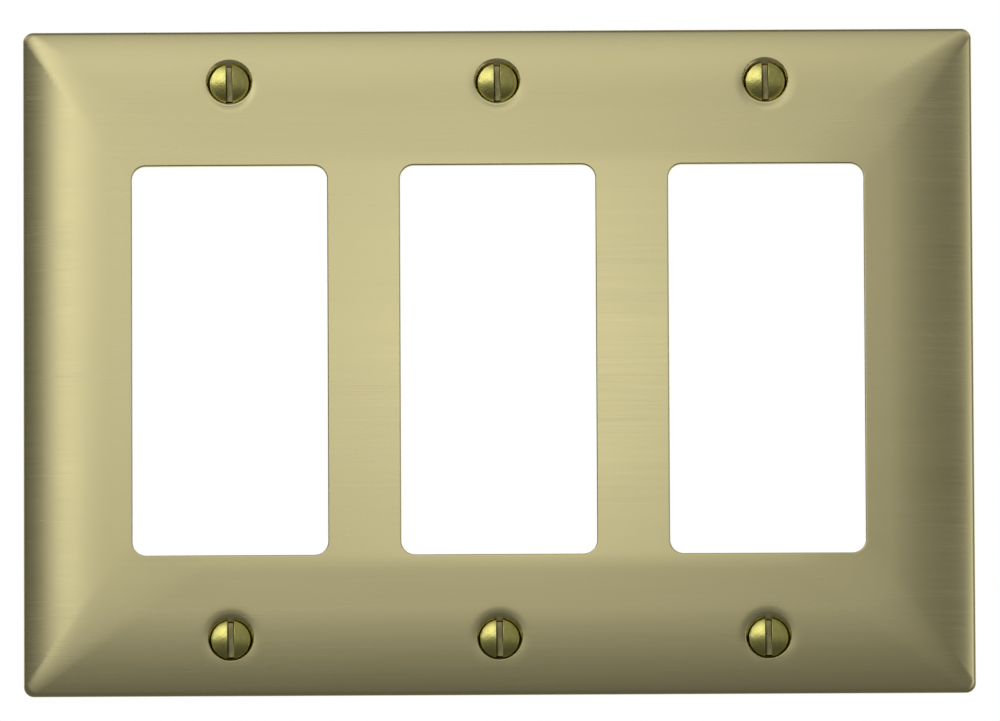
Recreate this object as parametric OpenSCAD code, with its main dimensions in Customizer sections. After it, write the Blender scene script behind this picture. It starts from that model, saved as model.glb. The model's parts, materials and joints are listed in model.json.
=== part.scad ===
// Three-gang wall plate for rocker-style devices, in stamped sheet brass,
// with its six oval-head fixing screws.
//
// Upright as fitted: +X across the width, +Z up, and the face looks along -Y.
// The origin is the centre of the back rim, on the plane of the wall.

/* [Plate] */
// Width, edge to edge
plate_w = 163; // [158:0.5:170]
// Height, edge to edge
plate_h = 115.8; // [112:0.2:125]
// How far the middle of the face stands out from the wall
face_depth = 3.4; // [3.2:0.1:4.5]
// Thickness of the sheet
sheet_t = 1; // [0.8:0.05:1.1]
// Upright part of the rim, where the curve starts
lip_depth = 0.8; // [0.7:0.05:1]
// Width of the curve, from the edge to where the face is quite flat
curve_w = 33; // [24:1:40]
// Corner radius of the outline
corner_r = 1.75; // [1:0.25:4]

/* [Windows] */
// Distance between neighbouring devices, a box maker's standard
gang_pitch = 46.04; // [45:0.01:47]
// Width of a window
window_w = 33.5; // [33:0.1:34.5]
// Height of a window
window_h = 67.8; // [66.5:0.1:68]
// Corner radius of a window
window_r = 2.35; // [1:0.05:4]

/* [Screws] */
// Distance between the screws above and below a device, also standard
screw_pitch = 96.84; // [96:0.01:98]
// Radius of the head at its sharp edge
head_r = 3.37; // [3.2:0.01:3.5]
// Height of the head's dome above that edge
dome_h = 1.14; // [0.8:0.02:1.3]
// How far the head's edge sits below the skin of the sheet
head_sink = 0.55; // [0.45:0.05:0.65]
// Full angle of the countersunk cone
cone_angle = 82; // [80:1:90]
// Radius over the thread's crests
thread_r = 1.75; // [1.6:0.01:1.8]
// Length from the head's edge to the tip
screw_l = 12.7; // [9:0.1:19]
// Width of the driver slot
slot_w = 1.13; // [0.9:0.01:1.3]

/* [Hidden] */
$fn = 64;

brass = "#c7be91";
screw_brass = "#d9cf7a";

slack = 0.5;             // how far a cutting tool runs past what it cuts

// The skin's section is a quarter of a superellipse: steepest at the rim, then gently domed to the face.
curve_steps = 16;
flat_power = 3.2;
rim_power = 1.26;

// The countersink runs parallel to the head's cone, a little outside it.
seat_gap = 0.15;
cone_slope = tan(cone_angle / 2);
skin_z = skin_height((plate_h - screw_pitch) / 2);
head_z = skin_z - head_sink;
sink_r = head_r + seat_gap / cos(cone_angle / 2) + head_sink * cone_slope;
hole_r = 2;
cup_wall = 0.9;          // sheet left round the countersink, measured square to its axis
cup_back_z = 0.2;        // the cup stops just short of the wall

neck_r = 1.4;            // plain neck between the head and the thread
tip_chamfer = 0.4;
dome_r = (pow(head_r, 2) + pow(dome_h, 2)) / (2 * dome_h);
slot_depth = 0.45;       // below the head's edge

// Height of the outer skin at this distance from the edge, up to curve_w.
function skin_height(distance) =
    lip_depth + (face_depth - lip_depth)
        * pow(1 - pow(1 - distance / curve_w, flat_power), 1 / rim_power);

// The outer skin from the rim to the face: [distance from the edge, height].
function outer_curve() = [
    for (i = [0 : curve_steps])
        let (distance = curve_w * (1 - pow(cos(90 * i / curve_steps), 2 / flat_power)))
            [distance, skin_height(distance)]
];

// The same curve moved square to itself, into the sheet by this much.
function inner_curve(inset) =
    let (outer = outer_curve())
        [
            for (i = [0 : curve_steps])
                let (
                    before = outer[max(i - 1, 0)],
                    after = i < curve_steps ? outer[i + 1] : outer[i] + [1, 0],
                    along = (after - before) / norm(after - before)
                )
                    outer[i] + inset * [along[1], -along[0]]
        ];

// The whole section of a span: both curves, the face between them, and a base at or below the wall.
function span_section(span, inset, base) =
    let (
        left = [for (p = inner_curve(inset)) [p[0] - span / 2, p[1]]],
        right = [for (i = [curve_steps : -1 : 0]) [-left[i][0], left[i][1]]]
    )
        concat([[-span / 2, base]], left, right, [[span / 2, base]]);

// A rectangle with round corners, centred.
module rounded_rect(w, h, r) {
    square([w - 2 * r, h], center = true);
    square([w, h - 2 * r], center = true);
    for (x = [-1, 1], y = [-1, 1])
        translate([x * (w / 2 - r), y * (h / 2 - r)])
            circle(r = r);
}

// The pillow shape under the sheet's outer skin, or under a skin inset from it.
// Here and in the modules below +Z is away from the wall and +Y is up.
module pillow(inset, base) {
    reach = plate_w + plate_h;
    intersection() {
        rotate([90, 0, 0])
            linear_extrude(reach, center = true)
                polygon(span_section(plate_w, inset, base));
        rotate([90, 0, 90])
            linear_extrude(reach, center = true)
                polygon(span_section(plate_h, inset, base));
        translate([0, 0, base - slack])
            linear_extrude(face_depth - base + 2 * slack)
                rounded_rect(plate_w - 2 * inset, plate_h - 2 * inset, corner_r - inset);
    }
}

// Places its children on the screw in this column (-1, 0 or 1) and row (-1 or 1).
module at_screw(column, row) {
    translate([column * gang_pitch, row * screw_pitch / 2, 0])
        children();
}

// Stands its children up against the wall.
module upright() {
    rotate([90, 0, 0])
        children();
}

module windows() {
    for (column = [-1 : 1])
        translate([column * gang_pitch, 0, -slack])
            linear_extrude(face_depth + 2 * slack)
                rounded_rect(window_w, window_h, window_r);
}

// The sheet pressed back round a screw hole, before the countersink is cut.
module cup() {
    cup_h = skin_z - cup_back_z;
    translate([0, 0, cup_back_z])
        cylinder(h = cup_h, r1 = hole_r + cup_wall, r2 = hole_r + cup_wall + cup_h * cone_slope);
}

// The countersink and the hole, as one cutting tool.
module screw_hole() {
    cone_h = (sink_r - hole_r) / cone_slope;
    translate([0, 0, skin_z - cone_h])
        cylinder(h = cone_h + 2 * slack, r1 = hole_r, r2 = sink_r + 2 * slack * cone_slope);
    translate([0, 0, -slack])
        cylinder(h = face_depth, r = hole_r);
}

module wall_plate() {
    color(brass)
        upright()
            difference() {
                union() {
                    difference() {
                        pillow(0, 0);
                        pillow(sheet_t, -slack);
                    }
                    intersection() {
                        pillow(sheet_t / 2, 0);
                        for (column = [-1 : 1], row = [-1, 1])
                            at_screw(column, row)
                                cup();
                    }
                }
                windows();
                for (column = [-1 : 1], row = [-1, 1])
                    at_screw(column, row)
                        screw_hole();
            }
}

// The head: a low dome on a cone, whose small end is inside the neck.
module screw_head() {
    cone_end_r = neck_r / 2;
    cone_h = (head_r - cone_end_r) / cone_slope;
    rotate_extrude()
        intersection() {
            translate([0, head_z + dome_h - dome_r])
                circle(r = dome_r);
            polygon([
                [0, head_z - cone_h], [cone_end_r, head_z - cone_h], [head_r, head_z],
                [head_r, head_z + dome_h], [0, head_z + dome_h]
            ]);
        }
}

// The plain neck, which runs up into the head, and the thread's outer shape down to its chamfered tip.
module screw_shank() {
    tip_z = head_z - screw_l;
    rotate_extrude()
        polygon([
            [0, head_z - slot_depth - slack], [neck_r, head_z - slot_depth - slack],
            [neck_r, 0], [thread_r, 0],
            [thread_r, tip_z + tip_chamfer], [thread_r - tip_chamfer, tip_z], [0, tip_z]
        ]);
}

// A slotted oval-head machine screw, head outwards, its slot upright.
module screw(column, row) {
    color(screw_brass)
        upright()
            at_screw(column, row)
                difference() {
                    union() {
                        screw_head();
                        screw_shank();
                    }
                    translate([-slot_w / 2, -head_r - slack, head_z - slot_depth])
                        cube([slot_w, 2 * (head_r + slack), dome_h + slot_depth + slack]);
                }
}

module screw_top_left() screw(-1, 1);
module screw_top_middle() screw(0, 1);
module screw_top_right() screw(1, 1);
module screw_bottom_left() screw(-1, -1);
module screw_bottom_middle() screw(0, -1);
module screw_bottom_right() screw(1, -1);

wall_plate();
screw_top_left();
screw_top_middle();
screw_top_right();
screw_bottom_left();
screw_bottom_middle();
screw_bottom_right();
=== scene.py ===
"""Looks for the three-gang brass wall plate.

A pressed, brushed plate and six turned screws, in a plain studio.
"""

import json
import math

import bpy
import numpy as np
from mathutils import Matrix, Vector, geometry


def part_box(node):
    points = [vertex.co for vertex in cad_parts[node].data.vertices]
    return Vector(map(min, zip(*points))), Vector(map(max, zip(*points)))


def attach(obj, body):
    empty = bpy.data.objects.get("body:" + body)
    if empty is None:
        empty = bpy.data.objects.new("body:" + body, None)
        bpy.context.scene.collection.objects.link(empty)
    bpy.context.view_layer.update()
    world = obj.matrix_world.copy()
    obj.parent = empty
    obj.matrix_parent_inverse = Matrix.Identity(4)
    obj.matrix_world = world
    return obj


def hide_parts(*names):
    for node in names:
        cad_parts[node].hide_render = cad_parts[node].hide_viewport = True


MM = 0.001

# Sheet metal, as drawn in the CAD
SHEET = 1.0 * MM
LIP = 0.8 * MM
OUTLINE_R = 1.75 * MM
WINDOW_R = 2.35 * MM
WINDOW_GAP = 0.2 * MM  # the record's opening boxes stand this far inside the windows

# The pressing's section, inwards from the outline: a curved bevel, then a band that slopes evenly and
# flattens out over its last BAND_EASE
BEVEL_W = 14.5 * MM
BEVEL_FLAT_POWER, BEVEL_RIM_POWER = 2.0, 1.3
BAND_W, BAND_EASE = 24.5 * MM, 4.0 * MM
BAND_SLOPE = 0.047

# Softness of the real pressing, which the CAD leaves out
CORNER_SPREAD = 0.38  # how fast the level lines' corner radius grows, inwards from the outline
LEVEL_HALVINGS = 44  # steps in the search for the level line through a point
WINDOW_ROLL = 0.25 * MM
RIM_ROLL = 0.5 * MM
DISH_R = 5.6 * MM  # the dish round a countersink
DISH_DEPTH, DISH_LEAN = 0.13 * MM, 0.9  # it is deeper towards the windows, by this share
SINK_BLEND = 0.36 * MM
CUP_BLEND = 0.6 * MM

# Screws and their seats
CONE_ANGLE = math.radians(41)  # half of the head's cone
CONE_SLOPE = math.tan(CONE_ANGLE)
HEAD_R = 3.37 * MM
SCREW_L = 12.7 * MM  # from the head's edge to the tip
HOLE_R = 2.0 * MM
SINK_R = 4.25 * MM  # the countersink, where it meets the skin
SINK_FLOOR = 0.31 * MM  # how far off the wall it ends, at the hole
MARK_R, MARK_LIFT = 3.95 * MM, 0.3 * MM  # the punch's mark round it, a little above the screw
MARK_SLOPE = 3.0
CUP_WALL = 0.9 * MM
CUP_BACK = 0.2 * MM
LEAST_GAP = 0.1 * MM  # the inner skin stays this far off the wall
DOME_H = 1.14 * MM
NECK_R = 1.4 * MM
THREAD_R = 1.75 * MM
THREAD_DEPTH = 0.4 * MM
PITCH = 25.4 / 32 * MM
TIP_CHAMFER = 0.4 * MM
SLOT_W = 1.13 * MM
SLOT_DEPTH = 0.45 * MM  # below the head's edge
EDGE_ROLL = 0.07 * MM

# Camera: a long lens looking up at the plate, which sits a little left of and above the picture's middle
CAMERA_UP = -10.3
CAMERA_AWAY = 4.5
CAMERA_ROLL = -0.27
PICTURE_W = 171.45 * MM
CAMERA_ASIDE, CAMERA_RISE = 0.27 * MM, -0.29 * MM
SENSOR_W = 36.0

# How the brushed face scatters light
FACE_ROUGHNESS, FACE_ANISOTROPY = 0.25, 0.10

# Depths of the surfaces' fine marks
FACE_BUMP = 0.00022 * MM
BACK_BUMP = 0.002 * MM
SCREW_BUMP = 0.05 * MM
SLOT_BUMP = 0.01 * MM

# Colours. A pair is the two ends of a blend.
FACE_COLORS = (0.780, 0.703, 0.368, 1), (0.812, 0.731, 0.396, 1)
SCRATCH_COLOR = (0.90, 0.84, 0.55, 1)
BACK_COLORS = (0.66, 0.565, 0.30, 1), (0.50, 0.40, 0.20, 1)
ROLLED_COLOR = (0.74, 0.66, 0.39, 1)
SCREW_COLORS = (0.60, 0.568, 0.185, 1), (0.49, 0.443, 0.135, 1)
SLOT_COLORS = (0.52, 0.465, 0.225, 1), (0.34, 0.295, 0.13, 1)
FLOOR_COLOR = (0.98, 0.98, 0.975, 1)
WHITE = (1, 1, 1, 1)

# The plate's light tent: the strength of each glowing panel, and its edges in degrees round and up from the
# front. Four values are a band (edge, softness, edge, softness), and two a hump (middle, width). The back
# panel starts at BACK_DEPTH (edge, softness), in shares of the tent's radius behind the wall.
TENT_R = 340 * MM
ROOM = 0.126
FRONT_LIGHT, FRONT_ACROSS, FRONT_UP = 1.59, (-25.9, 1.5, 17.3, 5.3), (6.5, 9.5, 16.0, 15.8)
STRIP_LIGHT, STRIP_ACROSS, STRIP_UP = 1.22, (-28.9, 4.0), (-6.8, 4.0, 36.5, 1.9)
RIGHT_LIGHT, RIGHT_ACROSS, RIGHT_UP = 0.70, (44.8, 1.5, 72.0, 7.0), (-25.0, 6.0, 21.2, 2.2)
TOP_LIGHT, TOP_UP = 0.426, (32.1, 2.1, 51.3, 6.0)
SPOT_LIGHT, SPOT_ACROSS, SPOT_UP = 0.92, (1.3, 5.2), (9.8, 4.0)
BACK_LIGHT, BACK_DEPTH, BACK_UP = 0.9, (0.5, 0.1), (-28.0, 8.0, 60.0, 10.0)

# The screws' own tent, so large that all six see it alike. It has the same back panel.
SCREW_TENT_R = 2.0
SCREW_ROOM = 0.11
LEFT_LIGHT, LEFT_ACROSS, LEFT_UP = 1.6, (-115.0, 4.0, -6.0, 3.0), (16.5, 4.0, 58.0, 5.0)
DIM_LIGHT, DIM_ACROSS, DIM_UP = 0.27, (-120.0, 4.0, 80.0, 10.0), (-4.0, 5.0, 80.0, 8.0)

FLOOR_Z, FLOOR_SIZE = -0.95, 14.0

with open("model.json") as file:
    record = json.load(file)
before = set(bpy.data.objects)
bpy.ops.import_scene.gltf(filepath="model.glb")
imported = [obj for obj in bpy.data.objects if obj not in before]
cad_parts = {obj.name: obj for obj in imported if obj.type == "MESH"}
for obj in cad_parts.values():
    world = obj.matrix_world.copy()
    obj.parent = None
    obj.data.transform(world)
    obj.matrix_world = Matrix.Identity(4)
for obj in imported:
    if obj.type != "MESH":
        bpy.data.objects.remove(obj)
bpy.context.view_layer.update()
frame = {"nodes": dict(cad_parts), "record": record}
record = frame["record"]

plate_low, plate_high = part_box("wall_plate")
PLATE_W = plate_high.x - plate_low.x
PLATE_H = plate_high.z - plate_low.z
FACE = -plate_low.y
SCREWS = [n for n in sorted(frame["nodes"]) if n.startswith("screw_")]


def screw_axis(node):
    """The screw's axis, as (x, z)."""
    low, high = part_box(node)
    return (low.x + high.x) / 2, (low.z + high.z) / 2


def window_sizes():
    """Each window as (centre x, centre z, width, height), from the record's openings."""
    found = []
    for opening in record["physics"]["openings"]:
        low, high = np.array(opening["box_m"])
        w, _, h = high - low + 2 * WINDOW_GAP
        x, _, z = (low + high) / 2
        found.append((x, z, w, h))
    return found


WINDOWS = window_sizes()
HOLES = [screw_axis(n) for n in SCREWS]
HOLE_Z = abs(HOLES[0][1])


# ---------------------------------------------------------------- the plate's form


def soft_min(a, b, blend):
    """The smaller of a and b, rounded off where they cross."""
    mix = np.clip(0.5 + 0.5 * (b - a) / blend, 0, 1)
    return b * (1 - mix) + a * mix - blend * mix * (1 - mix)


def smooth_step(t):
    t = np.clip(t, 0, 1)
    return t * t * (3 - 2 * t)


def level_radius(level):
    """Corner radius of the level line that runs this far in from the outline."""
    return OUTLINE_R + CORNER_SPREAD * level


def level_of(x, z):
    """How far in from the outline a point is, measured so that level lines keep rounded corners."""
    dx, dz = PLATE_W / 2 - np.abs(x), PLATE_H / 2 - np.abs(z)
    low, high = np.zeros_like(dx), np.minimum(dx, dz)
    for _ in range(LEVEL_HALVINGS):
        level = (low + high) / 2
        radius = level_radius(level)
        ex, ez = radius - (dx - level), radius - (dz - level)
        corner = (ex > 0) & (ez > 0)
        spare = np.where(corner, radius - np.hypot(ex, ez), np.minimum(dx, dz) - level)
        low, high = np.where(spare > 0, level, low), np.where(spare > 0, high, level)
    return (low + high) / 2


def pillow(level):
    """Height of the outer skin off the wall."""
    t = np.maximum((BAND_W - level) / BAND_EASE, 0)
    drop = BAND_SLOPE * BAND_EASE * np.where(t < 1, t**3 - t**4 / 2, t - 0.5)
    rise = FACE - LIP - BAND_SLOPE * (BAND_W - BAND_EASE / 2)
    t = 1 - np.clip(level / BEVEL_W, 0, 1)
    return FACE - drop - rise * (1 - (1 - t**BEVEL_FLAT_POWER) ** (1 / BEVEL_RIM_POWER))


def inner_pillow(level):
    """Height of the inner skin: the sheet is equally thick all over, measured square to itself."""
    step = 0.01 * MM
    slope = (pillow(level + step) - pillow(level - step)) / (2 * step)
    return pillow(level) - SHEET * np.sqrt(1 + slope**2)


SKIN_AT_SCREW = float(pillow(PLATE_H / 2 - HOLE_Z))
HEAD_EDGE = SCREW_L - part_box(SCREWS[0])[1].y


def window_distance(x, z):
    """Distance outside the nearest window's edge."""
    best = np.full_like(x, np.inf)
    for cx, cz, w, h in WINDOWS:
        qx = np.abs(x - cx) - (w / 2 - WINDOW_R)
        qz = np.abs(z - cz) - (h / 2 - WINDOW_R)
        outside = np.hypot(np.maximum(qx, 0), np.maximum(qz, 0))
        best = np.minimum(best, outside + np.minimum(np.maximum(qx, qz), 0) - WINDOW_R)
    return best


def hole_distance(x, z):
    """Distance from the nearest screw's axis."""
    return np.min([np.hypot(x - cx, z - cz) for cx, cz in HOLES], axis=0)


def rolled_off(distance, radius):
    """What rounding an edge takes off the height, at this distance in from the edge."""
    inside = np.clip(radius - distance, 0, radius)
    return radius - np.sqrt(radius**2 - inside**2)


def front_height(x, z):
    """Height of the outer skin: domed, dished round each countersink, rolled over at windows and rim."""
    level = level_of(x, z)
    skin = pillow(level)
    r = hole_distance(x, z)
    inwards = (HOLE_Z - np.abs(z)) / np.maximum(r, HOLE_R)
    dish = (1 - np.clip((r - MARK_R) / (DISH_R - MARK_R), 0, 1)) ** 2
    height = skin - DISH_DEPTH * dish * (1 + DISH_LEAN * np.clip(inwards, -1, 1))
    share = (r - HOLE_R) / (SINK_R - HOLE_R)
    sink = SINK_FLOOR + share * (SKIN_AT_SCREW - SINK_FLOOR) + (skin - SKIN_AT_SCREW) * smooth_step(share)
    mark = skin - (MARK_R - hole_distance(x, z - MARK_LIFT)) * MARK_SLOPE
    height = soft_min(height, np.maximum(sink, mark), SINK_BLEND)
    return height - rolled_off(window_distance(x, z), WINDOW_ROLL) - rolled_off(level, RIM_ROLL)


def back_height(x, z):
    """Height of the inner skin, which comes down round each screw hole as a cup."""
    height = inner_pillow(level_of(x, z))
    r = hole_distance(x, z)
    cup = CUP_BACK + (r - HOLE_R - CUP_WALL) / CONE_SLOPE
    return np.maximum(soft_min(height, cup, CUP_BLEND), LEAST_GAP)


# ---------------------------------------------------------------- mesh helpers


def ring(cx, cz, w, h, radius, across, up, arc):
    """Points round a rectangle with round corners, anticlockwise seen from the front.

    across, up and arc count the steps along each level side, each upright side and each corner.
    """
    points = []
    corners = [(1, -1, -90), (1, 1, 0), (-1, 1, 90), (-1, -1, 180)]
    for i, (sx, sz, start) in enumerate(corners):
        ox, oz = cx + sx * (w / 2 - radius), cz + sz * (h / 2 - radius)
        angles = np.radians(start + 90 * np.arange(arc + 1) / arc)
        points.append(np.c_[ox + radius * np.cos(angles), oz + radius * np.sin(angles)])
        side = up if i % 2 == 0 else across
        nx, nz, _ = corners[(i + 1) % 4]
        end = np.array([cx + nx * (w / 2 - radius), cz + nz * (h / 2 - radius)])
        end += radius * np.array([math.cos(angles[-1]), math.sin(angles[-1])])
        steps = np.arange(1, side)[:, None] / side
        points.append(points[-1][-1] * (1 - steps) + end * steps)
    return np.vstack(points)


def circle(cx, cz, r, count):
    angles = 2 * np.pi * np.arange(count) / count
    return np.c_[cx + r * np.cos(angles), cz + r * np.sin(angles)]


def unit(vectors):
    return vectors / np.linalg.norm(vectors, axis=-1)[..., None]


class Sheet:
    """Collects vertices, faces, a normal for each face corner, and each face's material."""

    def __init__(self):
        self.points, self.faces, self.normals, self.materials = [], [], [], []

    def add_points(self, points):
        """Adds points and returns their numbers."""
        first = len(self.points)
        self.points.extend(np.asarray(points, float))
        return np.arange(first, first + len(points))

    def add_face(self, corners, normals, material=0):
        """Adds a face. mesh() turns it so that it faces the way its normals point."""
        self.faces.append([int(c) for c in corners])
        self.normals.append(normals)
        self.materials.append(material)

    def turn_faces(self):
        """Turns over each face whose corners run the wrong way for its normals."""
        points = np.array(self.points)
        for i, (corners, normals) in enumerate(zip(self.faces, self.normals)):
            a, b, c = points[corners[0]], points[corners[len(corners) // 3]], points[corners[-1]]
            (ux, uy, uz), (vx, vy, vz) = b - a, c - a
            nx, ny, nz = np.sum(normals, axis=0)
            if (uy * vz - uz * vy) * nx + (uz * vx - ux * vz) * ny + (ux * vy - uy * vx) * nz < 0:
                self.faces[i], self.normals[i] = corners[::-1], normals[::-1]

    def strip(self, first, second, first_normals, second_normals, material=0, closed=True):
        """Quads between two rows of vertices that have the same length."""
        n = len(first)
        for i in range(n if closed else n - 1):
            j = (i + 1) % n
            corners = [first[i], first[j], second[j], second[i]]
            normals = [first_normals[i], first_normals[j], second_normals[j], second_normals[i]]
            self.add_face(corners, normals, material)

    def mesh(self, name, materials):
        self.turn_faces()
        mesh = bpy.data.meshes.new(name)
        mesh.from_pydata([tuple(p) for p in self.points], [], self.faces)
        for m in materials:
            mesh.materials.append(m)
        mesh.polygons.foreach_set("material_index", self.materials)
        mesh.polygons.foreach_set("use_smooth", [True] * len(self.faces))
        mesh.normals_split_custom_set([tuple(n) for corners in self.normals for n in corners])
        mesh.update()
        return mesh


def add_object(name, mesh, location=(0, 0, 0)):
    piece = bpy.data.objects.new(name, mesh)
    piece.location = location
    bpy.context.scene.collection.objects.link(piece)
    return piece


def brush_map(mesh):
    """A UV map with U up the plate and V across it, for the brushing's direction."""
    layer = mesh.uv_layers.new(name="brush")
    corners = np.zeros(len(mesh.loops), np.int64)
    mesh.loops.foreach_get("vertex_index", corners)
    places = np.zeros(len(mesh.vertices) * 3)
    mesh.vertices.foreach_get("co", places)
    places = places.reshape(-1, 3)[corners]
    layer.data.foreach_set("uv", (places[:, [2, 0]] / PLATE_W + 0.5).ravel())


# ---------------------------------------------------------------- the plate's mesh

OUTLINE_COUNTS = 128, 92, 12  # points across, up and round a corner
WINDOW_COUNTS = 26, 52, 10
ROUND_COUNT = 72  # points round a screw hole
RING_REACH = 17 * MM
RING_COUNT = 26
FIELD_STEP = 1.3 * MM
WINDOW_BANDS = np.array([0, 0.03, 0.07, 0.13, 0.25, 0.55, 1.0]) * MM
HOLE_BANDS = np.array([0, 0.6, 1.1, 1.3, *np.arange(1.4, 2.5, 0.08), 2.6, 2.8, 3.1, 3.5, 4.2]) * MM
RING_CLEAR = 0.35 * MM
EDGE_RINGS = 10  # the outline's rings that run unbroken, outside all windows and holes
SLIVER = 1e-12  # twice the area of a triangle that is too thin to keep
SAME_POINT = 1e-6  # points closer than this, in mm, are one
SLOPE_STEP = 2e-6
OFF_EDGE = 5e-5  # slopes are measured this share inside a point, because they are endless at an edge


def clear_of_rings(points, gap):
    """The points that aren't close to the rings round windows and holes."""
    x, z = points.T
    clear = window_distance(x, z) > WINDOW_BANDS[-1] + gap
    return points[clear & (hole_distance(x, z) > HOLE_R + HOLE_BANDS[-1] + gap)]


def field_points():
    """A staggered grid over the face, inside the outline's rings."""
    rows = np.arange(-PLATE_H / 2, PLATE_H / 2, FIELD_STEP * math.sqrt(3) / 2)
    columns = np.arange(-PLATE_W / 2, PLATE_W / 2, FIELD_STEP)
    x, z = np.meshgrid(columns, rows)
    x = (x + np.where(np.arange(len(rows)) % 2, FIELD_STEP / 2, 0)[:, None]).ravel()
    z = z.ravel()
    inside = level_of(x, z) > RING_REACH + FIELD_STEP / 2
    return np.c_[x, z][inside]


def triangulate(edge_level):
    """The sheet laid flat between its outline, windows and holes: points, triangles, and edge loops."""
    levels = edge_level + (RING_REACH - edge_level) * (np.arange(RING_COUNT + 1) / RING_COUNT) ** 2
    outline = [
        ring(0, 0, PLATE_W - 2 * c, PLATE_H - 2 * c, level_radius(c), *OUTLINE_COUNTS) for c in levels
    ]
    windows = [
        [ring(x, z, w + 2 * e, h + 2 * e, WINDOW_R + e, *WINDOW_COUNTS) for e in WINDOW_BANDS]
        for x, z, w, h in WINDOWS
    ]
    holes = [[circle(x, z, HOLE_R + e, ROUND_COUNT) for e in HOLE_BANDS] for x, z in HOLES]
    loops = [outline[0]] + [w[0] for w in windows] + [h[0] for h in holes]
    edge_count = len(loops)
    loops += outline[1 : EDGE_RINGS + 1]
    loose = [r for w in windows for r in w[1:]] + [r for h in holes for r in h[1:]]
    loose += [clear_of_rings(points, RING_CLEAR) for points in outline[EDGE_RINGS + 1 :]]
    loose.append(clear_of_rings(field_points(), FIELD_STEP / 2))
    starts = np.cumsum([0] + [len(loop) for loop in loops])
    edges = []
    for start, loop in zip(starts, loops):
        n = len(loop)
        edges += [(int(start + i), int(start + (i + 1) % n)) for i in range(n)]
    points = np.vstack(loops + loose)
    found = geometry.delaunay_2d_cdt([Vector(p) for p in points / MM], edges, [], 0, SAME_POINT)
    placed = np.array([tuple(v) for v in found[0]]) * MM
    triangles = np.array(found[2])
    centre = placed[triangles].mean(1)
    inside = (window_distance(*centre.T) > 0) & (hole_distance(*centre.T) > HOLE_R)
    a, b, c = (placed[triangles[:, i]] for i in range(3))
    spans = np.cross(b - a, c - a)
    number = {old: new for new, olds in enumerate(found[3]) for old in olds}
    edge_loops = [[number[i] for i in range(s, e)] for s, e in zip(starts[:edge_count], starts[1:])]
    return placed, triangles[inside & (np.abs(spans) > SLIVER)], edge_loops


def skin_normals(height, points):
    """Normals of a skin, towards the front, from the slope of its height."""
    x, z = (points * (1 - OFF_EDGE)).T
    slope_x = (height(x + SLOPE_STEP, z) - height(x - SLOPE_STEP, z)) / (2 * SLOPE_STEP)
    slope_z = (height(x, z + SLOPE_STEP) - height(x, z - SLOPE_STEP)) / (2 * SLOPE_STEP)
    return unit(-np.c_[slope_x, np.ones(len(x)), slope_z])


def add_skin(sheet, edge_level, height, side, material):
    """Adds the outer skin (side 1) or the inner one (side -1), and returns its edge loops."""
    points, triangles, loops = triangulate(edge_level)
    normals = skin_normals(height, points) * side
    numbers = sheet.add_points(np.c_[points[:, 0], -height(points[:, 0], points[:, 1]), points[:, 1]])
    for triangle in triangles:
        sheet.add_face(numbers[triangle], normals[triangle], material)
    return [numbers[loop] for loop in loops]


def make_plate(face_material, back_material):
    """The sheet: two skins, joined by the lip at the rim and by walls at the windows and holes."""
    sheet = Sheet()
    front = add_skin(sheet, 0, front_height, 1, 0)
    back = add_skin(sheet, SHEET, back_height, -1, 1)
    places = np.array(sheet.points)

    def outwards(numbers):
        flat = places[numbers][:, [0, 2]]
        along = np.roll(flat, -1, 0) - np.roll(flat, 1, 0)
        return unit(np.c_[along[:, 1], np.zeros(len(flat)), -along[:, 0]])

    def foot(numbers):
        return sheet.add_points(places[numbers] * [1, 0, 1])

    # the lip's outside, its edge against the wall, and its inside
    outer_foot, inner_foot = foot(front[0]), foot(back[0])
    outside, inside = outwards(front[0]), -outwards(back[0])
    wallwards = np.tile([0.0, 1.0, 0.0], (len(outside), 1))
    sheet.strip(outer_foot, front[0], outside, outside, 0)
    sheet.strip(inner_foot, outer_foot, wallwards, wallwards, 1)
    sheet.strip(back[0], inner_foot, inside, inside, 1)
    for near, far in zip(front[1:], back[1:]):
        into_gap = -outwards(near)
        sheet.strip(near, far, into_gap, into_gap, 0)
    mesh = sheet.mesh("plate", [face_material, back_material])
    brush_map(mesh)
    return add_object("pressed_plate", mesh)


# ---------------------------------------------------------------- the screws' mesh

DOME_R = (HEAD_R**2 + DOME_H**2) / (2 * DOME_H)
HALF_SLOT = SLOT_W / 2
SLOT_FLOOR = HEAD_EDGE - SLOT_DEPTH
TOP_R = HEAD_R - EDGE_ROLL  # where the dome ends and its rounded edge begins
SCREW_TIP = HEAD_EDGE - SCREW_L
HEAD_COLUMNS, HEAD_ROWS = 22, 22
NOTCH_COUNT = 6
DOME_TILT, CONE_TILT = math.asin(TOP_R / DOME_R), math.pi / 2 + CONE_ANGLE  # of normals, from straight out
ROLL_STEPS = np.array([0, 0.12, 0.35, 0.65, 1]) * EDGE_ROLL
# The rim's rounded edge: in from HEAD_R, down from the dome's end, and how far the normals have turned
RIM_POINTS = (0.030 * MM, 0.028 * MM, 0.35), (0.012 * MM, 0.062 * MM, 0.7)
CONE_START = 0.05 * MM  # below the head's edge
CONE_ROWS = 0.33, 0.67, 1
TURN_ROWS = 12  # rows of faces along one turn of the thread
NECK_STEP = 0.03 * MM  # between the neck's last row and the thread's first
LEAST_ROW = 0.02 * MM  # rows of the thread are further apart than this


def to_world(points):
    """From (across, up, out from the wall) to the shared frame."""
    u, v, w = np.asarray(points, float).T
    return np.c_[u, -w, v]


def dome(r):
    return HEAD_EDGE + DOME_H - DOME_R + np.sqrt(DOME_R**2 - r**2)


def cone_radius(w):
    """Radius of the head's cone at this distance out from the wall."""
    return HEAD_R - (HEAD_EDGE - w) * CONE_SLOPE


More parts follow.
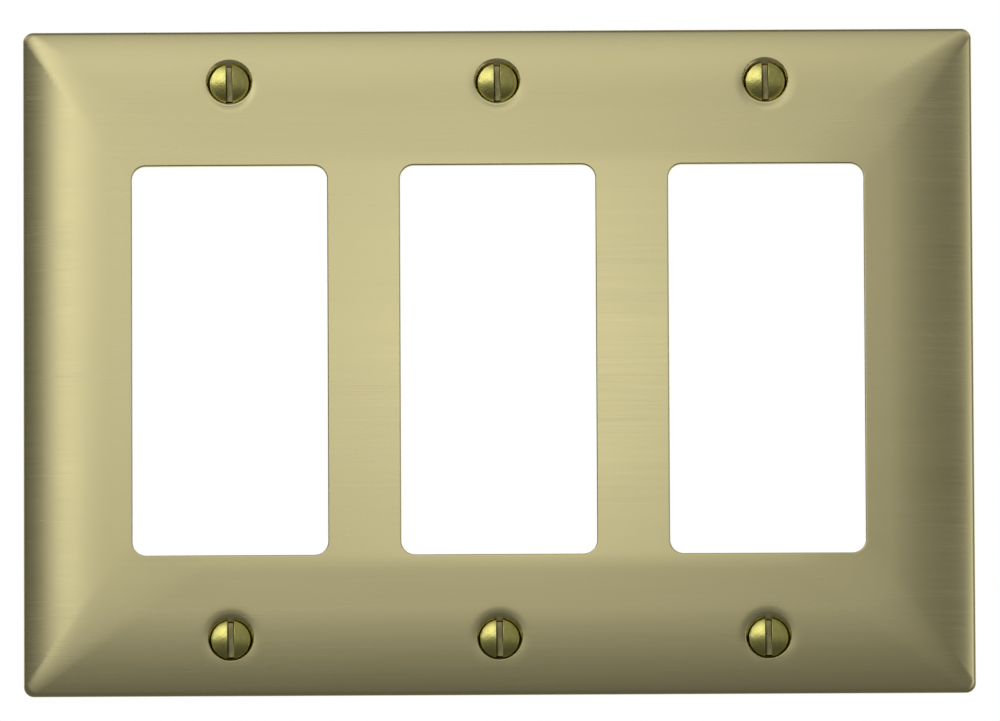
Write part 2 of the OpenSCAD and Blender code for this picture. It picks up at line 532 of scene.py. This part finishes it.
def half_angles(r):
    """Angles along the right half's rim at this radius, from the slot's lower edge to its upper edge."""
    first = np.arcsin((HALF_SLOT + ROLL_STEPS) / TOP_R)
    spread = np.linspace(first[-1], math.pi / 2, HEAD_COLUMNS)[1:]
    near_slot = np.arcsin((HALF_SLOT + ROLL_STEPS) / r)
    from_slot = np.r_[near_slot, spread]
    upper = math.pi / 2 - from_slot
    return np.r_[-upper, upper[-2::-1]]


def arc_at(r, w, tilt):
    """Half of a ring round the head: places and normals, in (across, up, out)."""
    angles = half_angles(r)
    places = np.c_[r * np.cos(angles), r * np.sin(angles), np.full(len(angles), w)]
    across, up = math.sin(tilt) * np.cos(angles), math.sin(tilt) * np.sin(angles)
    return places, np.c_[across, up, np.full(len(angles), math.cos(tilt))]


def add_head_half(sheet, side):
    """One half of the head above the slot's floor: dome, rounded rim, cone, and the slot's wall.

    side is 1 for the right half and -1 for the left. Returns the half ring at the level of the floor.
    """
    mirror = np.array([side, 1, 1])

    def place(points):
        return sheet.add_points(to_world(points * mirror))

    def turn(normals):
        return to_world(normals * mirror)

    arc, _ = arc_at(TOP_R, 0, 0)
    columns = arc[: len(arc) // 2, 0]
    rows = np.sin(np.linspace(-math.pi / 2, math.pi / 2, HEAD_ROWS))
    grid, leans = [], []
    for u in columns:
        v = rows * math.sqrt(TOP_R**2 - u**2)
        r = np.hypot(u, v)
        roll = min(max(EDGE_ROLL - (u - HALF_SLOT), 0), EDGE_ROLL)
        drop = EDGE_ROLL - math.sqrt(EDGE_ROLL**2 - roll**2)
        grid.append(place(np.c_[np.full(HEAD_ROWS, u), v, dome(r) - drop]))
        lean = roll / EDGE_ROLL
        across = np.c_[np.full(HEAD_ROWS, u), v, np.sqrt(DOME_R**2 - r**2)] / DOME_R
        leans.append(turn(unit(across * math.sqrt(1 - lean**2) + np.array([-lean, 0, 0]))))
    peak = place(np.array([[TOP_R, 0, dome(TOP_R)]]))[0]
    peak_normal = turn(np.array([[TOP_R, 0, math.sqrt(DOME_R**2 - TOP_R**2)]]) / DOME_R)[0]
    for i in range(len(grid) - 1):
        sheet.strip(grid[i], grid[i + 1], leans[i], leans[i + 1], closed=False)
    for i in range(HEAD_ROWS - 1):
        corners = [grid[-1][i], grid[-1][i + 1], peak]
        sheet.add_face(corners, [leans[-1][i], leans[-1][i + 1], peak_normal])

    # the rim rolls over from the dome on to the cone, which runs down to the level of the slot's floor
    row = np.array([g[0] for g in grid] + [peak] + [g[-1] for g in grid[::-1]])
    row_normals = np.array([n[0] for n in leans] + [peak_normal] + [n[-1] for n in leans[::-1]])
    rim = [(HEAD_R - inset, float(dome(TOP_R)) - drop, mix) for inset, drop, mix in RIM_POINTS]
    rim += [(cone_radius(w), w, 1) for w in (HEAD_EDGE - CONE_START, SLOT_FLOOR)]
    low_end, high_end = [], []
    for r, w, mix in rim:
        places, normals = arc_at(r, w, DOME_TILT * (1 - mix) + CONE_TILT * mix)
        numbers, normals = place(places), turn(normals)
        sheet.strip(row, numbers, row_normals, normals, closed=False)
        low_end.append(numbers[0])
        high_end.append(numbers[-1])
        row, row_normals = numbers, normals
    wall = [*grid[0], *high_end, *low_end[::-1]]
    facing_gap = turn(np.array([[-1.0, 0, 0]]))[0]
    sheet.add_face(wall, [facing_gap] * len(wall), 1)
    return row


def thread_radius(angles, w):
    """Radius of the thread at these angles and this far out from the wall: a vee between narrow flats."""
    phase = (w / PITCH - angles / (2 * math.pi)) % 1
    groove = np.clip(1.5 - np.abs(phase - 0.5) * 4, 0, 1)
    groove = groove * smooth_step(-w / PITCH)
    r = THREAD_R - THREAD_DEPTH * groove
    r = np.where(w > -LEAST_ROW, NECK_R, r)
    return np.minimum(r, THREAD_R - TIP_CHAMFER + np.maximum(w - SCREW_TIP, 0))


def make_screw_mesh(material, cut_material):
    """A whole screw, from the two halves of its slotted head down to the tip."""
    sheet = Sheet()
    right = add_head_half(sheet, 1)
    left = add_head_half(sheet, -1)
    floor_r = cone_radius(SLOT_FLOOR)
    edge = math.asin(HALF_SLOT / floor_r)
    notch = np.linspace(edge, -edge, NOTCH_COUNT + 2)[1:-1]

    def notch_points(upwards):
        across, up = floor_r * np.sin(notch), floor_r * np.cos(notch) * upwards
        return sheet.add_points(to_world(np.c_[across, up, np.full(len(notch), SLOT_FLOOR)]))

    # anticlockwise round the head at the level of the slot's floor, from the slot's lower right corner
    top_notch, bottom_notch = notch_points(1), notch_points(-1)
    loop = np.concatenate([right, top_notch, left[::-1], bottom_notch[::-1]])
    slot_floor = [right[0], right[-1], *top_notch, left[-1], left[0], *bottom_notch[::-1]]
    sheet.add_face(slot_floor, [np.array([0, -1.0, 0])] * len(slot_floor), 1)

    places = np.array([sheet.points[i] for i in loop])
    angles = np.arctan2(places[:, 2], places[:, 0])
    around = np.c_[np.cos(angles), np.sin(angles)]

    def add_row(r, w):
        return sheet.add_points(to_world(np.c_[around * np.reshape(r, (-1, 1)), np.full(len(angles), w)]))

    def row_normals(tilt):
        return to_world(np.c_[around * math.sin(tilt), np.full(len(angles), math.cos(tilt))])

    cone, straight = row_normals(CONE_TILT), row_normals(math.pi / 2)
    neck_top = HEAD_EDGE - (HEAD_R - NECK_R) / CONE_SLOPE
    row = loop
    for share in CONE_ROWS:
        w = SLOT_FLOOR + (neck_top - SLOT_FLOOR) * share
        numbers = add_row(cone_radius(w), w)
        sheet.strip(row, numbers, cone, cone)
        row = numbers

    # the thread, as rows of points down to the tip
    heights = np.r_[0, -NECK_STEP, np.arange(-PITCH / TURN_ROWS, SCREW_TIP, -PITCH / TURN_ROWS)]
    heights = np.r_[heights[heights > SCREW_TIP + LEAST_ROW], SCREW_TIP]
    neck = add_row(NECK_R, 0)
    sheet.strip(row, neck, straight, straight)
    row, normals = neck, straight
    step_a, step_w = 1e-3, 1e-6
    for w in heights[1:]:
        r = thread_radius(angles, w)
        numbers = add_row(r, w)
        along = (thread_radius(angles + step_a, w) - thread_radius(angles - step_a, w)) / (2 * step_a)
        out = (thread_radius(angles, w + step_w) - thread_radius(angles, w - step_w)) / (2 * step_w)
        tangent = np.c_[-around[:, 1], around[:, 0]]
        flat = around - tangent * (along / r)[:, None]
        new = to_world(unit(np.c_[flat, -out]))
        sheet.strip(row, numbers, normals, new)
        row, normals = numbers, new
    backwards = np.array([0, 1.0, 0])
    sheet.add_face(list(row), [backwards] * len(row))
    return sheet.mesh("screw", [material, cut_material])


# ---------------------------------------------------------------- materials


class Maths:
    """Short calls that add math nodes to a tree."""

    def __init__(self, tree):
        self.tree = tree

    def node(self, kind, inputs=(), **settings):
        """Adds a node with settings and inputs, each input a name or number with a value or socket."""
        node = self.tree.nodes.new(kind)
        for key, value in settings.items():
            setattr(node, key, value)
        for key, value in dict(inputs).items():
            if isinstance(value, bpy.types.NodeSocket):
                self.tree.links.new(value, node.inputs[key])
            else:
                node.inputs[key].default_value = value
        return node

    def __call__(self, operation, *values, clamp=False):
        node = self.node("ShaderNodeMath", enumerate(values), operation=operation, use_clamp=clamp)
        return node.outputs[0]

    def split(self, vector):
        """The x, y and z of a vector."""
        return self.node("ShaderNodeSeparateXYZ", {0: vector}).outputs[:]

    def stretched(self, coordinates, scale):
        """Coordinates multiplied by a scale for each axis."""
        node = self.node("ShaderNodeVectorMath", {0: coordinates, 1: scale}, operation="MULTIPLY")
        return node.outputs[0]

    def noise(self, coordinates, scale, detail=2.0, roughness=0.5):
        inputs = {
            "Vector": self.stretched(coordinates, scale),
            "Scale": 1.0,
            "Detail": detail,
            "Roughness": roughness,
        }
        return self.node("ShaderNodeTexNoise", inputs).outputs["Fac"]

    def spread(self, value, low, high, to_low=0.0, to_high=1.0):
        inputs = {0: value, 1: low, 2: high, 3: to_low, 4: to_high}
        return self.node("ShaderNodeMapRange", inputs, clamp=True).outputs[0]

    def blend(self, factor, a, b):
        node = self.node("ShaderNodeMix", {0: factor, 6: a, 7: b}, data_type="RGBA")
        return node.outputs[2]

    def total(self, *values):
        result = values[0]
        for value in values[1:]:
            result = self("ADD", result, value)
        return result


def new_material(name):
    material = bpy.data.materials.new(name)
    material.use_nodes = True
    material.node_tree.nodes.clear()
    maths = Maths(material.node_tree)
    coordinates = maths.node("ShaderNodeTexCoord").outputs["Object"]
    return material, maths, coordinates


def metal_shader(maths, color, roughness, height, bump_depth, anisotropic=0.0, tangent=None):
    bump = maths.node(
        "ShaderNodeBump", {"Height": height, "Distance": bump_depth, "Strength": 1.0}
    ).outputs["Normal"]
    inputs = {
        "Base Color": color,
        "Metallic": 1.0,
        "Roughness": roughness,
        "Anisotropic": anisotropic,
        "Normal": bump,
    }
    if tangent:
        inputs["Tangent"] = tangent
    shader = maths.node("ShaderNodeBsdfPrincipled", inputs)
    maths.node("ShaderNodeOutputMaterial", {"Surface": shader.outputs[0]})


def brushed_brass():
    """The face: brushed across the width, then lacquered."""
    material, maths, places = new_material("plate_face")
    fine = maths.noise(places, (60, 400, 9000), 2)
    coarse = maths.noise(places, (22, 200, 1500), 2)
    broad = maths.noise(places, (18, 30, 60), 3)
    streaks = maths("MULTIPLY_ADD", fine, 0.6, maths("MULTIPLY", coarse, 0.4))
    tone = maths.total(maths("MULTIPLY", streaks, 0.7), maths("MULTIPLY", broad, 0.3))
    color = maths.blend(maths.spread(tone, 0.35, 0.65), *FACE_COLORS)
    scratch = maths.spread(maths.noise(places, (45, 100, 5200), 0), 0.82, 0.86)
    color = maths.blend(maths("MULTIPLY", scratch, 0.3), color, SCRATCH_COLOR)
    roughness = maths.total(
        maths.spread(streaks, 0.3, 0.7, FACE_ROUGHNESS - 0.03, FACE_ROUGHNESS + 0.03),
        maths.spread(broad, 0.3, 0.7, -0.015, 0.015),
    )
    height = maths("MULTIPLY_ADD", scratch, 0.5, streaks)
    tangent = maths.node("ShaderNodeTangent", direction_type="UV_MAP", uv_map="brush").outputs[0]
    metal_shader(maths, color, roughness, height, FACE_BUMP, FACE_ANISOTROPY, tangent)
    return material


def raw_brass():
    """The back of the sheet, as rolled: dull, a little brown and stained."""
    material, maths, places = new_material("plate_back")
    rolled = maths.noise(places, (1500, 400, 40), 3)
    cloud = maths.noise(places, (45, 45, 45), 5, 0.6)
    stain = maths.spread(cloud, 0.45, 0.7)
    color = maths.blend(stain, *BACK_COLORS)
    color = maths.blend(maths.spread(rolled, 0.3, 0.7, 0, 0.25), color, ROLLED_COLOR)
    roughness = maths.total(
        maths.spread(cloud, 0.3, 0.7, 0.36, 0.5),
        maths.spread(rolled, 0.3, 0.7, -0.04, 0.04),
    )
    metal_shader(maths, color, roughness, rolled, BACK_BUMP)
    return material


def turned_brass():
    """The screws: bright yellow brass, faced on a lathe, then tumbled, so a little speckled."""
    material, maths, places = new_material("screw")
    x, _, z = maths.split(places)
    r = maths("SQRT", maths("MULTIPLY_ADD", x, x, maths("MULTIPLY", z, z)))
    wander = maths.noise(places, (900, 900, 900), 1)
    turned = maths("SINE", maths("MULTIPLY_ADD", r, 30000.0, maths("MULTIPLY", wander, 9.0)))
    speckle = maths.noise(places, (2600, 2600, 2600), 3, 0.7)
    dull = maths.noise(places, (700, 700, 700), 3)
    color = maths.blend(maths.spread(dull, 0.35, 0.7), *SCREW_COLORS)
    roughness = maths.total(
        maths.spread(dull, 0.3, 0.7, 0.17, 0.23),
        maths.spread(speckle, 0.3, 0.7, -0.03, 0.03),
    )
    height = maths.total(maths("MULTIPLY", turned, 0.12), speckle)
    metal_shader(maths, color, roughness, height, SCREW_BUMP)
    return material


def sawn_brass():
    """Inside the slot: saw marks along it, and coloured darker than the head."""
    material, maths, places = new_material("screw_slot")
    marks = maths.noise(places, (14000, 3000, 700), 2)
    slot_mottle = maths.noise(places, (1500, 1500, 900), 4, 0.6)
    color = maths.blend(maths.spread(slot_mottle, 0.35, 0.65), *SLOT_COLORS)
    roughness = maths.spread(marks, 0.3, 0.7, 0.34, 0.48)
    metal_shader(maths, color, roughness, marks, SLOT_BUMP)
    return material


# ---------------------------------------------------------------- camera and studio


def make_camera():
    data = bpy.data.cameras.new("camera")
    camera = bpy.data.objects.new("camera", data)
    bpy.context.scene.collection.objects.link(camera)
    bpy.context.scene.camera = camera
    up = math.radians(CAMERA_UP)
    target = Vector((CAMERA_ASIDE, -FACE, CAMERA_RISE))
    camera.location = target + CAMERA_AWAY * Vector((0, -math.cos(up), math.sin(up)))
    aim = (target - camera.location).to_track_quat("-Z", "Y")
    roll = Matrix.Rotation(math.radians(CAMERA_ROLL), 4, "Z")
    camera.rotation_euler = (aim.to_matrix().to_4x4() @ roll).to_euler()
    data.sensor_width = SENSOR_W
    data.lens = SENSOR_W * CAMERA_AWAY / PICTURE_W
    data.clip_start, data.clip_end = 0.1, 50


def make_world():
    """White behind everything, and for the floor's light; the metal sees only the tents."""
    world = bpy.data.worlds.new("studio")
    bpy.context.scene.world = world
    world.use_nodes = True
    world.cycles.sampling_method = "NONE"
    world.node_tree.nodes.clear()
    maths = Maths(world.node_tree)
    path = maths.node("ShaderNodeLightPath").outputs
    strength = maths("SUBTRACT", 1.0, path["Is Glossy Ray"])
    light = maths.node("ShaderNodeBackground", {"Color": WHITE, "Strength": strength})
    maths.node("ShaderNodeOutputWorld", {"Surface": light.outputs[0]})


class Glow:
    """Builds the glow of a light tent's panels, from the angles round and up from the plate's front."""

    def __init__(self, maths, places, radius):
        self.maths = maths
        x, y, z = maths.split(places)
        self.depth = maths("DIVIDE", y, radius)
        self.around = maths("MULTIPLY", maths("ARCTAN2", x, maths("MULTIPLY", y, -1.0)), 180 / math.pi)
        self.up = maths("MULTIPLY", maths("ARCSINE", maths("DIVIDE", z, radius)), 180 / math.pi)

    def rise(self, value, edge, width):
        """0 below an edge and 1 above it, or the other way about for a negative width."""
        maths = self.maths
        power = maths("EXPONENT", maths("DIVIDE", maths("SUBTRACT", edge, value), width))
        return maths("DIVIDE", 1.0, maths("ADD", 1.0, power))

    def band(self, value, low, low_width, high, high_width):
        return self.maths("MULTIPLY", self.rise(value, low, low_width), self.rise(value, high, -high_width))

    def hump(self, value, centre, width):
        offset = self.maths("DIVIDE", self.maths("SUBTRACT", value, centre), width)
        return self.maths("EXPONENT", self.maths("MULTIPLY", self.maths("MULTIPLY", offset, offset), -1.0))

    def panel(self, strength, *shares):
        result = strength
        for share in shares:
            result = self.maths("MULTIPLY", result, share)
        return result


def add_tent(name, radius, make_glow, *lit):
    """A glowing ball round the plate, seen only in the metal of the pieces it lights."""
    bpy.ops.mesh.primitive_uv_sphere_add(segments=64, ring_count=32, radius=radius)
    tent = bpy.context.object
    tent.name = name
    material, maths, places = new_material(name)
    strength = make_glow(Glow(maths, places, radius))
    shader = maths.node("ShaderNodeEmission", {"Color": WHITE, "Strength": strength})
    clear = maths.node("ShaderNodeBsdfTransparent")
    both = maths.node("ShaderNodeAddShader", {0: shader.outputs[0], 1: clear.outputs[0]})
    maths.node("ShaderNodeOutputMaterial", {"Surface": both.outputs[0]})
    material.cycles.emission_sampling = "NONE"
    tent.data.materials.append(material)
    tent.visible_camera = tent.visible_diffuse = tent.visible_shadow = tent.visible_transmission = False
    receivers = bpy.data.collections.new(name + "_lights")
    for piece in lit:
        receivers.objects.link(piece)
    tent.light_linking.receiver_collection = receivers
    return tent


def plate_glow(glow):
    around, up = glow.around, glow.up
    return glow.maths.total(
        ROOM,
        glow.panel(FRONT_LIGHT, glow.band(around, *FRONT_ACROSS), glow.band(up, *FRONT_UP)),
        glow.panel(STRIP_LIGHT, glow.hump(around, *STRIP_ACROSS), glow.band(up, *STRIP_UP)),
        glow.panel(RIGHT_LIGHT, glow.band(around, *RIGHT_ACROSS), glow.band(up, *RIGHT_UP)),
        glow.panel(TOP_LIGHT, glow.band(up, *TOP_UP)),
        glow.panel(SPOT_LIGHT, glow.hump(around, *SPOT_ACROSS), glow.hump(up, *SPOT_UP)),
        glow.panel(BACK_LIGHT, glow.rise(glow.depth, *BACK_DEPTH), glow.band(up, *BACK_UP)),
    )


def screw_glow(glow):
    around, up = glow.around, glow.up
    return glow.maths.total(
        SCREW_ROOM,
        glow.panel(LEFT_LIGHT, glow.band(around, *LEFT_ACROSS), glow.band(up, *LEFT_UP)),
        glow.panel(DIM_LIGHT, glow.band(around, *DIM_ACROSS), glow.band(up, *DIM_UP)),
        glow.panel(BACK_LIGHT, glow.rise(glow.depth, *BACK_DEPTH), glow.band(up, *BACK_UP)),
    )


def make_floor():
    """White paper far below, seen from above only, and not in the metal."""
    bpy.ops.mesh.primitive_plane_add(size=FLOOR_SIZE, location=(0, 0, FLOOR_Z))
    floor = bpy.context.object
    floor.name = "floor"
    material, maths, _ = new_material("floor_paper")
    paper = maths.node("ShaderNodeBsdfDiffuse", {"Color": FLOOR_COLOR})
    clear = maths.node("ShaderNodeBsdfTransparent")
    below = maths.node("ShaderNodeNewGeometry").outputs["Backfacing"]
    mix = maths.node("ShaderNodeMixShader", {0: below, 1: paper.outputs[0], 2: clear.outputs[0]})
    maths.node("ShaderNodeOutputMaterial", {"Surface": mix.outputs[0]})
    floor.data.materials.append(material)
    floor.visible_glossy = False
    return floor


# ---------------------------------------------------------------- the scene

plate = make_plate(brushed_brass(), raw_brass())
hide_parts("wall_plate")
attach(plate, "plate")

body_of = {node: body for body, nodes in record["behaviour"]["bodies"].items() for node in nodes}
screw_mesh = make_screw_mesh(turned_brass(), sawn_brass())
screws = []
for node, (x, z) in zip(SCREWS, HOLES):
    piece = add_object("turned_" + node, screw_mesh, (x, 0, z))
    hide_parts(node)
    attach(piece, body_of[node])
    screws.append(piece)

make_world()
make_camera()
plate_tent = add_tent("plate_tent", TENT_R, plate_glow, plate)
screw_tent = add_tent("screw_tent", SCREW_TENT_R, screw_glow, *screws)
make_floor()
bpy.context.scene.view_settings.view_transform = "Standard"
